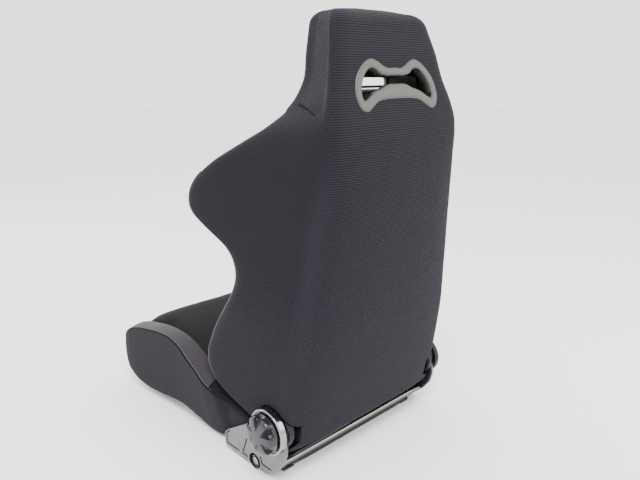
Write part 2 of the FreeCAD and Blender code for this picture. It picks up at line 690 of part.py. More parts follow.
def build_backrest():
    nodes["back_shell"] = back_shell()
    add_pair("wing_bolster", wing())
    nodes["back_centre_pad"] = centre_pad()
    nodes["head_pad"] = head_pad()
    hoop_solid = rod(hoop_path(), HOOP_R, 70)
    hoop = hoop_solid.cut(rod(hoop_path(), HOOP_R - HOOP_WALL, 70))
    for y, z in arm_bolt_points():
        for side in (-1, 1):
            hole = cylinder_x(4.1, HOOP_LEG_X - 20, HOOP_LEG_X + 20, y, z)
            hoop = hoop.cut(hole if side > 0 else mirrored(hole))
    nodes["back_hoop"] = hoop
    for name, z, radius in (("lower_cross_tube", 300, 8.0), ("shoulder_cross_tube", 650, 8.0)):
        nodes[name] = cross_tube(z, radius, hoop_solid)
    heights = (370, 440, 510, 580)
    nodes["back_springs"] = group([back_spring(z) for z in heights])
    clips = [back_clip(z) for z in heights]
    nodes["back_spring_clips"] = group(clips + [mirrored(s) for s in clips])
    add_pair("wing_rod", rod(wing_rod_path(), WING_ROD_R, 24))
    add_pair("recliner_arm", arm())
    bolts = []
    for y, z in arm_bolt_points():
        bolts.append(hexagon_bolt(7.0, ARM_X + ARM_WALL + 0.1, ARM_X + ARM_WALL + 5, 4.0,
                                  HOOP_LEG_X - HOOP_R - 8, ARM_X + ARM_WALL + 2, y, z))
    nodes["arm_bolts"] = group(bolts + [mirrored(s) for s in bolts])
    add_pair("recliner_gear", recliner_gear())
    nodes["rear_bezel"] = rear_bezel()
    nodes["harness_tunnel"] = harness_tunnel()
    nodes["front_bezel"] = front_bezel()
    y, z, radius = GUARD_BAR
    half = slot_half_width(y) - 0.8
    nodes["slot_guard_bar"] = cylinder_x(radius, -half, half, y, z)


def build_drive():
    nodes["recliner_knob"] = knob()
    nodes["cross_shaft"] = cylinder_x(SHAFT_R - 0.05, -PLATE_X - 6, KNOB_X + 15.5, PIVOT_Y, PIVOT_Z)
    add_pair("drive_cam", drive_cam())
    face = PLATE_X + PLATE_WALL + 0.2
    clip = ring_x(SHAFT_R + 2.6, SHAFT_R - 0.03, face, face + 1.2, PIVOT_Y, PIVOT_Z)
    nodes["shaft_clips"] = group([clip, mirrored(clip)])


def save():
    os.makedirs("parts", exist_ok=True)
    for name, shape in nodes.items():
        solids = shape.Solids
        valid = shape.isValid()
        print(f"{name:24s} solids {len(solids):2d} valid {valid} volume {shape.Volume / 1000:9.1f} cm3")
        shape.exportStep(f"parts/{name}.step")


build_base()
build_backrest()
build_drive()
save()
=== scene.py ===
import json
import math

import bmesh
import bpy
import numpy as np
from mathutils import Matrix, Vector, noise


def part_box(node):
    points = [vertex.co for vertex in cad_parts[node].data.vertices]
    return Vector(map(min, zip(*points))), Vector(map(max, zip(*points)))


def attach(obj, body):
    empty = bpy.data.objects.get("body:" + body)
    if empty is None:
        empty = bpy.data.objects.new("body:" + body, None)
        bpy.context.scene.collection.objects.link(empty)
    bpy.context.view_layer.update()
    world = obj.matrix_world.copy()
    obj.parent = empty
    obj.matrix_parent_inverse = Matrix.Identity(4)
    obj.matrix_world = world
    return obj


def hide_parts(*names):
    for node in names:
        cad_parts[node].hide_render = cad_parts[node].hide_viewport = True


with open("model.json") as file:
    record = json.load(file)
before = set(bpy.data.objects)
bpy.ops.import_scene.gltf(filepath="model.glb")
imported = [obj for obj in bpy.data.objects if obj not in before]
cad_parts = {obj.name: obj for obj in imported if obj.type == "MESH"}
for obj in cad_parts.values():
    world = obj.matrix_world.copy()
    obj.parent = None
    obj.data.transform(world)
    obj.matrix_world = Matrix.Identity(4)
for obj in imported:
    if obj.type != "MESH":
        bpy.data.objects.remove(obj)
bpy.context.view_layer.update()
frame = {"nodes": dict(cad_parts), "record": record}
nodes = frame["nodes"]
MM = 0.001

# The backrest in millimetres, as (height, half width, depth): its rear corner, the wings' front edge and
# the groove beside the insert. CROWN is the bulge of its rear panel, as (height, depth).
RIDGE = [(71, 245, 255), (245, 247, 283), (518, 213, 317), (663, 193, 335), (715, 192, 337),
         (735, 191, 335.5), (760, 186, 330.5), (785, 178, 324.5), (811, 169, 317), (840, 161, 310),
         (865, 155, 305), (890, 148, 298), (912, 141, 292), (945, 130, 284)]
TIP = [(71, 240, 203), (92, 242, 184), (112, 244, 130), (148, 249, 24), (175, 251, -4), (212, 252, -13),
       (258, 253, 5), (301, 253, 29), (345, 255, 62), (387, 256, 92), (436, 262, 117), (462, 264, 115),
       (490, 267, 96), (523, 272, 31), (545, 276, -5), (581, 282, -10), (620, 279, 10), (661, 269, 62),
       (700, 247, 127), (735, 217, 176), (760, 184, 188), (811, 139, 190), (865, 128, 190),
       (912, 121, 190), (945, 116, 191)]
GROOVE = [(71, 184, 206), (112, 182, 196), (128, 182, 176), (212, 180, 172), (301, 178, 168),
          (436, 172, 200), (581, 165, 208), (661, 152, 212), (700, 145, 208), (735, 135, 204),
          (760, 124, 200), (945, 96, 196)]
CROWN = [(71, 11), (640, 11), (785, 0.5), (945, 0.5)]
NECK_FOLD = np.array([(168.0, 221.0, 774.0), (184.0, 284.0, 757.0)])
TOP_Z = 945.0
TOP_ROUND = 25.0
TOP_CROWN = 6.5
BASE_Z = 71.0
PIVOT = (220.0, 120.0)
SIDE_ROWS = 0.85         # slope of the knit's rows on the side panels
HEAD_TILT = math.radians(15.0)
BEZEL_Y = 315.0
BEZEL_Z = 811.0
SLOT = (100.0, 122.0, 796.0, 822.0)      # half widths at the rear and the front, low and high edge
SLOT_Y = (288.0, 189.6)                  # its rear and front ends
SLOT_LINING = 2.6                        # the cover's hole clears the tunnel in the slot by this
HUB_HOLE_R = 51.0                        # holes in the cover's sides round the recliners
WELT_Z = (100.0, 640.0)                  # from foot to neck
HEAD_SEAM_Z = (806.0, 934.0)
INSERT_LINES = (245, 335, 425, 515, 605, 690)
STITCH_WIDTH = 3.2                       # half width of a sewn channel
CUSHION_SEAM_X = 196.0
SPLINE_STEPS = 5                         # points per control point round a section
CLOTH_PRESSURE = 4.0
CLOTH_FRAMES = 20
CLOTH_VOXEL = 6.0
FLOOR_COLOUR = (0.93, 0.93, 0.93, 1)


# ---- curves ------------------------------------------------------------------------------------
def smooth(table, at):
    """Cubic interpolation of a table's columns at the given first-column values."""
    rows = np.array(table, float)
    keys, values = rows[:, 0], rows[:, 1:]
    steps = np.diff(keys)[:, None]
    slopes = np.diff(values, axis=0) / steps
    inner = (slopes[:-1] * steps[1:] + slopes[1:] * steps[:-1]) / (steps[:-1] + steps[1:])
    tangents = np.vstack([slopes[:1], inner, slopes[-1:]])
    at = np.clip(np.asarray(at, float), keys[0], keys[-1])
    i = np.clip(np.searchsorted(keys, at, side="right") - 1, 0, len(keys) - 2)
    h = steps[i]
    t = ((at - keys[i]) / steps[i, 0])[:, None]
    return ((2 * t**3 - 3 * t**2 + 1) * values[i] + (t**3 - 2 * t**2 + t) * h * tangents[i]
            + (3 * t**2 - 2 * t**3) * values[i + 1] + (t**3 - t**2) * h * tangents[i + 1])


def ramp(low, high, x):
    t = np.clip((np.asarray(x, float) - low) / (high - low), 0, 1)
    return t * t * (3 - 2 * t)


def bspline(control, per):
    """Points on closed uniform cubic splines: control has the shape (rings, points, 2 or 3)."""
    p0, p1, p2, p3 = (np.roll(control, -k, axis=1) for k in (-1, 0, 1, 2))
    out = []
    for k in range(per):
        t = k / per
        out.append(((1 - t)**3 * p0 + (3 * t**3 - 6 * t**2 + 4) * p1
                    + (-3 * t**3 + 3 * t**2 + 3 * t + 1) * p2 + t**3 * p3) / 6)
    return np.stack(out, axis=2).reshape(control.shape[0], -1, control.shape[2])


def path_points(points, count):
    """Points at even steps along a smooth open path through the given points."""
    rows = np.array(points, float)
    walk = np.concatenate([[0], np.cumsum(np.linalg.norm(np.diff(rows, axis=0), axis=1))])
    table = np.column_stack([walk, rows])
    return smooth(table, np.linspace(0, walk[-1], count))


# ---- meshes ------------------------------------------------------------------------------------
def link(mesh, name, material):
    obj = bpy.data.objects.new(name, mesh)
    bpy.context.scene.collection.objects.link(obj)
    for m in material if isinstance(material, (list, tuple)) else [material]:
        mesh.materials.append(m)
    mesh.polygons.foreach_set("use_smooth", [True] * len(mesh.polygons))
    return obj


def grid_mesh(name, rings, material, uv=None, caps=True, slots=None):
    """A skin over rings of points in millimetres: rings has the shape (rings, points, 3)."""
    count, n = rings.shape[:2]
    faces = []
    for r in range(count - 1):
        for i in range(n):
            j = (i + 1) % n
            faces.append((r * n + i, r * n + j, (r + 1) * n + j, (r + 1) * n + i))
    sides = len(faces)
    if caps:
        faces.append(tuple(range(n - 1, -1, -1)))
        faces.append(tuple((count - 1) * n + i for i in range(n)))
    mesh = bpy.data.meshes.new(name)
    mesh.from_pydata((rings.reshape(-1, 3) * MM).tolist(), [], faces)
    if uv is not None:
        layer = mesh.uv_layers.new(name="weave")
        values = np.zeros((len(mesh.loops), 2), np.float32)
        r, i = np.divmod(np.arange(sides), n)
        for corner, (dr, di) in enumerate(((0, 0), (0, 1), (1, 1), (1, 0))):
            values[np.arange(sides) * 4 + corner] = uv[r + dr, i + di]
        layer.data.foreach_set("uv", values.ravel())
    obj = link(mesh, name, material)
    if slots is not None:
        indices = np.zeros(len(mesh.polygons), np.int32)
        indices[:sides] = slots[:count - 1, :n].ravel()
        mesh.polygons.foreach_set("material_index", indices)
    return obj


def tube(name, points, radius, material, sides=8):
    """A thin round cord through points in millimetres, as a mesh with closed ends."""
    pts = np.asarray(points, float)
    tangent = np.gradient(pts, axis=0)
    tangent /= np.linalg.norm(tangent, axis=1)[:, None]
    up = np.array([0.31, 0.22, 0.92])
    side = np.cross(tangent, up)
    side /= np.linalg.norm(side, axis=1)[:, None]
    other = np.cross(tangent, side)
    angles = np.linspace(0, 2 * math.pi, sides, endpoint=False)
    rings = (pts[:, None] + radius * (np.cos(angles)[None, :, None] * side[:, None]
                                      + np.sin(angles)[None, :, None] * other[:, None]))
    return grid_mesh(name, rings, material)


def prism(name, outline, low, high, axis, material):
    """A straight prism over a closed outline, along X ('x') or Y ('y'), in millimetres."""
    flat = np.array(outline, float)
    rings = []
    for level in (low, high):
        column = np.full(len(flat), float(level))
        order = (column, flat[:, 0], flat[:, 1]) if axis == "x" else (flat[:, 0], column, flat[:, 1])
        rings.append(np.column_stack(order))
    obj = grid_mesh(name, np.stack(rings), material)
    clean_normals(obj)
    return obj


def clean_normals(obj, merge=False):
    bm = bmesh.new()
    bm.from_mesh(obj.data)
    if merge:
        bmesh.ops.remove_doubles(bm, verts=bm.verts, dist=1e-6)
    bmesh.ops.recalc_face_normals(bm, faces=bm.faces)
    bm.to_mesh(obj.data)
    bm.free()


def apply_all(obj):
    """Replaces an object's mesh with the result of its modifiers."""
    graph = bpy.context.evaluated_depsgraph_get()
    mesh = bpy.data.meshes.new_from_object(obj.evaluated_get(graph), depsgraph=graph)
    old = obj.data
    obj.modifiers.clear()
    obj.data = mesh
    bpy.data.meshes.remove(old)
    mesh.polygons.foreach_set("use_smooth", [True] * len(mesh.polygons))


def cut(obj, cutters):
    """Cuts closed shapes out of a piece; the cut faces keep the cutters' material."""
    for cutter in cutters:
        mod = obj.modifiers.new("cut", "BOOLEAN")
        mod.operation = "DIFFERENCE"
        mod.solver = "FAST"
        mod.object = cutter
    apply_all(obj)
    for cutter in cutters:
        bpy.data.objects.remove(cutter)


def vertices(obj):
    co = np.empty(len(obj.data.vertices) * 3, np.float64)
    obj.data.vertices.foreach_get("co", co)
    return co.reshape(-1, 3)


def move_vertices(obj, co):
    obj.data.vertices.foreach_set("co", co.ravel())
    obj.data.update()


def normals(obj):
    out = np.empty(len(obj.data.vertices) * 3, np.float32)
    obj.data.vertex_normals.foreach_get("vector", out)
    return out.reshape(-1, 3)


# ---- materials ---------------------------------------------------------------------------------
class Nodes:
    """A material's node tree, with one-line helpers."""

    def __init__(self, name):
        self.material = bpy.data.materials.new(name)
        self.material.use_nodes = True
        self.tree = self.material.node_tree
        self.shader = self.tree.nodes["Principled BSDF"]

    def add(self, kind, inputs=(), **settings):
        node = self.tree.nodes.new("ShaderNode" + kind)
        for key, value in settings.items():
            setattr(node, key, value)
        for key, value in dict(inputs).items():
            if isinstance(value, bpy.types.NodeSocket):
                self.tree.links.new(value, node.inputs[key])
            else:
                node.inputs[key].default_value = value
        return node

    def math(self, operation, a, b=0.0, c=0.0):
        return self.add("Math", {0: a, 1: b, 2: c}, operation=operation).outputs[0]

    def mix(self, factor, a, b):
        node = self.add("Mix", {0: factor, 6: a, 7: b}, data_type="RGBA")
        return node.outputs[2]

    def noise(self, vector, scale, detail=3.0, rough=0.55):
        node = self.add("TexNoise", {"Vector": vector, "Scale": scale, "Detail": detail, "Roughness": rough})
        return node.outputs[0]

    def spread(self, value, low, high, to_low=0.0, to_high=1.0):
        node = self.add("MapRange", {0: value, 1: low, 2: high, 3: to_low, 4: to_high})
        return node.outputs[0]

    def wire(self, socket, value):
        self.tree.links.new(value, self.shader.inputs[socket])

    def bump(self, height, distance, strength=1.0):
        node = self.add("Bump", {"Height": height, "Distance": distance, "Strength": strength})
        self.wire("Normal", node.outputs[0])

    def fixed(self, **values):
        for key, value in values.items():
            self.shader.inputs[key.replace("_", " ")].default_value = value


# A painted highlight: the lighter band painted along the backrest's ridges, where the cover's rounded
# edge would catch the light. Its half width at the foot, the height above the foot where it starts to
# narrow, and how much it narrows per metre.
RIDGE_PAINTED_HIGHLIGHT = (0.250, 0.17, 0.115)


def knit(name, base, across, along, contrast=0.3, use_uv=True, depth=0.0005, edge=0.0):
    """A ribbed knit of small raised stitches in offset rows, with a painted highlight, a lighter band along
    the ridges, if edge is above zero. Sizes are in metres."""
    m = Nodes(name)
    if use_uv:
        vector = m.add("UVMap", uv_map="weave").outputs[0]
        parts = m.add("SeparateXYZ", {0: vector}).outputs
        u, v = parts[0], parts[1]
        place = m.add("TexCoord").outputs["Object"]
    else:
        place = m.add("TexCoord").outputs["Object"]
        parts = m.add("SeparateXYZ", {0: place}).outputs
        u = parts[0]
        v = m.math("ADD", parts[1], m.math("MULTIPLY", parts[2], 0.8))
    wobble = m.math("MULTIPLY", m.noise(place, 60.0, 2.0), 0.0012)
    u = m.math("ADD", u, wobble)
    turn = 2 * math.pi
    row = m.math("MULTIPLY", v, turn / along)
    column = m.math("MULTIPLY", u, turn / across)
    rows = m.math("SINE", row)
    stagger = m.math("ADD", column, m.math("MULTIPLY", row, 0.5))
    stitches = m.math("SINE", stagger)
    both = m.math("ADD", m.math("MULTIPLY", rows, 0.72), m.math("MULTIPLY", stitches, 0.28))
    height = m.spread(both, -1.0, 1.0)
    speckle = m.noise(place, 900.0, 2.0)
    patch = m.noise(place, 7.0, 3.0)
    fibre = m.math("ADD", m.math("MULTIPLY", height, 0.8), m.math("MULTIPLY", speckle, 0.5))
    low = tuple(c * (1 - contrast) for c in base) + (1,)
    high = tuple(c * (1 + contrast) for c in base) + (1,)
    woven = m.mix(m.spread(fibre, 0.2, 1.1), low, high)
    violet = tuple(c * k for c, k in zip(base, (0.92, 0.86, 1.35))) + (1,)
    tinted = m.mix(m.spread(patch, 0.40, 0.66, 0.0, 0.35), woven, violet)
    # The band along the ridges is a painted highlight, lighter where the rounded edges would catch the
    # light.
    if edge:
        half_width, narrows_from, narrowing = RIDGE_PAINTED_HIGHLIGHT
        rise = m.math("MAXIMUM", m.math("SUBTRACT", v, narrows_from), 0.0)
        ridge = m.math("SUBTRACT", half_width, m.math("MULTIPLY", rise, narrowing))
        away = m.math("ABSOLUTE", m.math("SUBTRACT", m.math("ABSOLUTE", u), ridge))
        fade = m.spread(v, 0.50, 0.66, edge, 0.0)
        painted_highlight_band = m.math("MULTIPLY", m.spread(away, 0.004, 0.030, 1.0, 0.0), fade)
        tinted = m.mix(painted_highlight_band, tinted, tuple(2.0 * c * k for c, k in zip(base, (0.97, 0.97, 1.08))) + (1,))
    m.wire("Base Color", tinted)
    m.wire("Roughness", m.spread(speckle, 0.3, 0.7, 0.86, 0.98))
    m.bump(m.math("ADD", m.math("MULTIPLY", height, 0.8), m.math("MULTIPLY", speckle, 0.3)), depth)
    m.fixed(Sheen_Weight=0.06, Sheen_Roughness=0.4, Sheen_Tint=(0.8, 0.78, 0.84, 1), Specular_IOR_Level=0.12)
    return m.material


def suede(name, base):
    m = Nodes(name)
    place = m.add("TexCoord").outputs["Object"]
    nap = m.noise(place, 320.0, 4.0)
    patch = m.noise(place, 16.0, 3.0)
    colour = m.mix(m.spread(patch, 0.35, 0.65), tuple(0.85 * c for c in base) + (1,),
                   tuple(1.12 * c for c in base) + (1,))
    # Painted shade: the strip darkens towards its rear, where it lies in shadow.
    rear = m.spread(m.add("SeparateXYZ", {0: place}).outputs[1], -0.27, -0.06)
    rear_painted_shade = m.mix(rear, colour, tuple(k * c for k, c in zip((0.40, 0.36, 0.43), base)) + (1,))
    m.wire("Base Color", m.mix(m.math("MULTIPLY", nap, 0.25), rear_painted_shade, (0.02, 0.02, 0.02, 1)))
    m.wire("Roughness", m.spread(nap, 0.3, 0.7, 0.75, 0.9))
    m.bump(nap, 0.0003)
    m.fixed(Sheen_Weight=0.12, Sheen_Roughness=0.35, Sheen_Tint=(0.9, 0.88, 0.9, 1), Specular_IOR_Level=0.2)
    return m.material


def plastic(name, base, rough, grain=0.0001, scale=900.0, coat=0.0, shine=0.5):
    m = Nodes(name)
    place = m.add("TexCoord").outputs["Object"]
    fine = m.noise(place, scale, 2.0)
    patch = m.noise(place, 22.0, 3.0)
    m.wire("Base Color", m.mix(m.spread(patch, 0.3, 0.7), tuple(0.9 * c for c in base) + (1,),
                               tuple(1.08 * c for c in base) + (1,)))
    uneven = m.math("ADD", m.math("MULTIPLY", fine, 0.4), m.math("MULTIPLY", patch, 0.6))
    m.wire("Roughness", m.spread(uneven, 0.3, 0.7, 0.85 * rough, min(1.0, 1.2 * rough)))
    m.bump(fine, grain, 0.6)
    m.fixed(Coat_Weight=coat, Coat_Roughness=0.06, Specular_IOR_Level=shine)
    return m.material


def metal(name, base, rough, wear=0.15, metallic=1.0, shine=0.5, ior=1.5):
    """Metal, or paint that shines like it, with faint wear."""
    m = Nodes(name)
    place = m.add("TexCoord").outputs["Object"]
    streak = m.noise(place, 420.0, 3.0)
    patch = m.noise(place, 30.0, 4.0)
    both = m.math("ADD", m.math("MULTIPLY", streak, 0.5), m.math("MULTIPLY", patch, 0.5))
    m.wire("Base Color", m.mix(m.spread(both, 0.35, 0.65), tuple((1 - wear) * c for c in base) + (1,),
                               tuple(min(1, (1 + wear) * c) for c in base) + (1,)))
    m.wire("Roughness", m.spread(both, 0.35, 0.65, 0.8 * rough, min(1.0, 1.35 * rough)))
    m.bump(streak, 0.00005, 0.5)
    m.fixed(Metallic=metallic, Specular_IOR_Level=shine, IOR=ior)
    return m.material


def bar_metal_painted_shade(name, upper, lower, level, rough):
    """Drawn metal, bright above a height in metres and darker below it: painted shade on the bar's
    underside.
    """
    m = Nodes(name)
    place = m.add("TexCoord").outputs["Object"]
    height = m.add("SeparateXYZ", {0: place}).outputs[2]
    streak = m.noise(m.add("Mapping", {"Vector": place, "Scale": (0.05, 1.0, 1.0)}).outputs[0], 420.0)
    m.wire("Base Color", m.mix(m.spread(height, level - 0.001, level + 0.001), lower + (1,), upper + (1,)))
    m.wire("Roughness", m.spread(streak, 0.35, 0.65, 0.8 * rough, 1.35 * rough))
    m.bump(streak, 0.00005, 0.5)
    m.fixed(Metallic=1.0)
    return m.material


CHARCOAL = (0.0104, 0.0098, 0.0122)
mat = {
    # The cover's knit carries the painted highlight along the ridges (edge).
    "knit": knit("charcoal_knit", CHARCOAL, 0.0050, 0.0046, 0.88, depth=0.0012, edge=0.42),
    "knit_soft": knit("charcoal_knit_side", CHARCOAL, 0.0036, 0.0040, 0.3, use_uv=False),
    # A darker, warmer copy of the charcoal knit: painted shadow on the cushion bolster where it lies under
    # the wing.
    "painted_shadow_cloth": knit("painted_shadow_knit", (0.0075, 0.0062, 0.0072), 0.0036, 0.0040, 0.3, use_uv=False),
    # The welt's light grey is partly the piping's own colour and partly a painted highlight along the raised
    # edges it follows.
    "welt": plastic("welt_thread_and_highlight", (0.075, 0.073, 0.076), 0.8, 0.0003, 1500.0),
    "insert": knit("insert_knit", (0.0112, 0.0108, 0.0112), 0.0034, 0.0040, 0.35, use_uv=False),
    "strip": suede("strip_suede", (0.060, 0.057, 0.059)),
    "thread": plastic("seam_thread", (0.016, 0.015, 0.019), 0.85, 0.0003, 1500.0),
    "dark": plastic("pocket_black", (0.004, 0.004, 0.0045), 0.8, shine=0.12),
    "underside_cloth": knit("underside_cloth", (0.026, 0.027, 0.022), 0.003, 0.003, 0.25, use_uv=False),
    "black_steel": metal("black_steel", (0.022, 0.022, 0.024), 0.42, metallic=0.0),
    # The rear bar's underside is painted darker as shade.
    "bar_steel": bar_metal_painted_shade("bar_steel", (0.19, 0.19, 0.185), (0.030, 0.031, 0.027), 0.0322, 0.25),
    "zinc_fasteners": metal("zinc_fasteners", (0.55, 0.54, 0.5), 0.35),
    "spring_steel": metal("spring_steel", (0.25, 0.25, 0.26), 0.4),
    "gear_steel": metal("gear_steel", (0.35, 0.35, 0.36), 0.35),
    "bush_plastic": plastic("bush_plastic", (0.6, 0.58, 0.5), 0.5),
    "cover_grey": plastic("cover_grey", (0.088, 0.090, 0.095), 0.28, 0.00006, 1400.0, 0.35),
    "trim_chrome": metal("trim_chrome", (0.27, 0.27, 0.28), 0.14, wear=0.06),
    "gloss_black": plastic("gloss_black", (0.010, 0.010, 0.012), 0.16, 0.00003, 700.0, 0.6),
    "knob_gloss": metal("knob_gloss", (0.012, 0.013, 0.016), 0.05, wear=0.05, metallic=0.0, shine=0.42,
                        ior=1.55),
    # A darker, less shiny copy of the knob's gloss: painted shade in the scallops.
    "knob_scallop_shade": metal("knob_scallop_shade", (0.006, 0.006, 0.008), 0.09, wear=0.05, metallic=0.0, shine=0.10),
    # Near-black for dark lines painted where shade falls: in grooves, in folds and beside seams.
    "painted_shade_black": plastic("painted_shade_black", (0.003, 0.003, 0.0035), 0.7, shine=0.1),
    "bezel_grey": plastic("bezel_grey", (0.046, 0.046, 0.040), 0.45, 0.00008, 1300.0),
    "hub_black": metal("hub_black", (0.007, 0.0065, 0.009), 0.45, metallic=0.0, shine=0.22),
    "tunnel_black": plastic("tunnel_black", (0.005, 0.005, 0.0055), 0.65, shine=0.2),
}
slot_of = {part["node"]: part["material_slot"] for part in frame["record"]["subparts"]}
hub_parts = ("lower_recliner_plate", "recliner_ring", "recliner_gear", "recliner_arm")
material_for = {side + "_" + part: "hub_black" for side in ("left", "right") for part in hub_parts}
# The far side's trim ring and disc cover take the hubs' near-black instead of their own materials: painted
# shade, as that side lies in shadow.
material_for.update(right_trim_ring="hub_black", right_disc_cover="hub_black", rear_cross_bar="bar_steel")
for name, obj in nodes.items():
    material = mat.get(material_for.get(name, slot_of[name]))
    if material:
        obj.data.materials.clear()
        obj.data.materials.append(material)


# ---- backrest cover ----------------------------------------------------------------------------
def blend_points(a, b, t):
    return a + (b - a) * t


def cover_sections(z):
    """Control points of the cover's closed sections at heights z, from the front centre over the left."""
    ridge, tip, groove = smooth(RIDGE, z), smooth(TIP, z), smooth(GROOVE, z)
    rx, ry = ridge.T
    tx, ty = tip.T
    gx, gy = groove.T
    crown = smooth(CROWN, z)[:, 0]
    back = ry - 46.4
    gy = np.minimum(gy, back - 12)
    ty = np.minimum(ty, back - 16)
    gx = np.minimum(gx, tx - 70)
    head = ramp(752, 766, z)
    inner_y = np.minimum(ty + 26, gy - 2)
    zero = np.zeros_like(z)

    def side(t):
        y = ry - 14 - t * (ry - ty - 40)
        reach = np.minimum(1, (ry - y) / (ry - ty - 27))
        return rx + reach * (tx - rx), y

    below = [(zero, back), (0.35 * gx, back), (0.7 * gx, back), (gx - 4, back), (gx, back - 6),
             (gx, gy + 0.45 * (back - gy)), (gx, gy + 3), (gx + 5, gy - 1),
             (gx + 0.5 * (tx - 60 - gx), gy + 0.5 * (inner_y - gy)), (tx - 60, inner_y),
             (tx - 50, np.minimum(ty + 8, inner_y)), (tx - 33, ty - 1), (tx - 17, ty - 1), (tx - 5, ty + 6),
             (tx, ty + 20)]
    above = [(zero, ty - 3), (0.16 * tx, ty - 3), (0.31 * tx, ty - 3), (0.45 * tx, ty - 2.5),
             (0.56 * tx, ty - 2.5), (0.66 * tx, ty - 2), (0.74 * tx, ty - 2), (0.80 * tx, ty - 1.5),
             (0.85 * tx, ty - 1),
             (0.89 * tx, ty - 1), (0.93 * tx, ty), (tx - 6, ty + 2), (tx - 1.5, ty + 7), (tx + 0.5, ty + 15),
             (tx + 0.5, ty + 26)]
    half = [(blend_points(a[0], b[0], head), blend_points(a[1], b[1], head)) for a, b in zip(below, above)]
    half += [side(0.88), side(0.62), side(0.36), side(0.14), (rx + 2.5, ry - 20), (rx - 1.5, ry - 8.5),
             (rx - 11, ry - 0.5), (rx - 27, ry + 2.5 + 0.1 * crown), (0.68 * rx, ry + 1 + 0.68 * crown),
             (0.35 * rx, ry + 0.95 * crown), (zero, ry + crown)]
    left = np.stack([np.stack(p, axis=1) for p in half], axis=1)
    right = left[:, -2:0:-1] * np.array([-1, 1])
    return np.concatenate([left, right], axis=1)


def cover_rings():
    z = np.concatenate([np.arange(BASE_Z, TOP_Z - TOP_ROUND, 3.5),
                        TOP_Z - TOP_ROUND + TOP_ROUND * np.sin(np.linspace(0, 0.5 * math.pi, 16))])
    flat = bspline(cover_sections(z), SPLINE_STEPS)
    t = np.clip((z - (TOP_Z - TOP_ROUND)) / TOP_ROUND, 0, 1)
    inset = TOP_ROUND * (1 - np.sqrt(np.maximum(0, 1 - t * t)))
    foot = np.clip((BASE_Z + 10 - z) / 10, 0, 1)
    inset = inset + 10 * (1 - np.sqrt(np.maximum(0, 1 - foot * foot)))
    half_width = np.abs(flat[:, :, 0]).max(axis=1)
    low, high = flat[:, :, 1].min(axis=1), flat[:, :, 1].max(axis=1)
    middle = 0.5 * (low + high)
    shrink_x = 1 - inset / half_width
    shrink_y = 1 - inset / (0.5 * (high - low))
    x = flat[:, :, 0] * shrink_x[:, None]
    y = middle[:, None] + (flat[:, :, 1] - middle[:, None]) * shrink_y[:, None]
    rings = np.stack([x, y, np.repeat(z[:, None], x.shape[1], axis=1)], axis=2)
    top = rings[-1]
    centre = top.mean(axis=0)
    lids = []
    for share in (0.85, 0.65, 0.4, 0.15):
        lid = centre + (top - centre) * share
        lid[:, 2] += TOP_CROWN * (1 - share * share)
        lids.append(lid)
    return np.concatenate([rings, np.stack(lids)])


def ring_uv(rings):
    """Weave coordinates in metres: across from the rear centre, and up."""
    closed = np.concatenate([rings, rings[:, :1]], axis=1)
    walk = np.cumsum(np.linalg.norm(np.diff(closed, axis=1), axis=2), axis=1)
    walk = np.concatenate([np.zeros((len(rings), 1)), walk], axis=1)
    middle = walk[:, rings.shape[1] // 2][:, None]
    rise = np.linalg.norm(np.diff(rings[:, rings.shape[1] // 2], axis=0), axis=1)
    up = np.concatenate([[0], np.cumsum(rise)])
    across = walk - middle
    ridge_x = np.interp(rings[:, 0, 2], *np.array(RIDGE, float)[:, :2].T)
    past_ridge = np.maximum(0, np.abs(across) - ridge_x[:, None])
    return np.stack([across * MM, (up[:, None] + SIDE_ROWS * past_ridge) * MM], axis=2)


def near_segment(points, a, b):
    """Distance to a segment, and the share of the way along it."""
    a, b = np.array(a, float), np.array(b, float)
    run = b - a
    t = np.clip((points - a) @ run / (run @ run), 0, 1)
    return np.linalg.norm(points - a - t[:, None] * run, axis=1), t


def relax(path, times):
    """Evens out an open path in place; its ends stay."""
    for _ in range(times):
        path[1:-1] = 0.25 * path[:-2] + 0.5 * path[1:-1] + 0.25 * path[2:]
    return path


def crease(co, out, a, b, depth, width, lip):
    """A fold in the cover, tapering to nothing at both ends, with a raised lip above it."""
    distance, t = near_segment(co, a, b)
    taper = np.sin(math.pi * np.clip(t, 0.02, 0.98))
    valley = -depth * taper * np.exp(-(distance / width)**2)
    raised = lip * taper * np.exp(-((distance - 2.4 * width) / (2.0 * width))**2)
    above = co[:, 2] > np.array(a)[2] + t * (np.array(b)[2] - np.array(a)[2])
    return co + out * (valley + raised * above)[:, None]


def cover_cord(name, points, radius, material):
    cord = tube(name, points, radius, mat[material])
    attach(cord, "backrest")


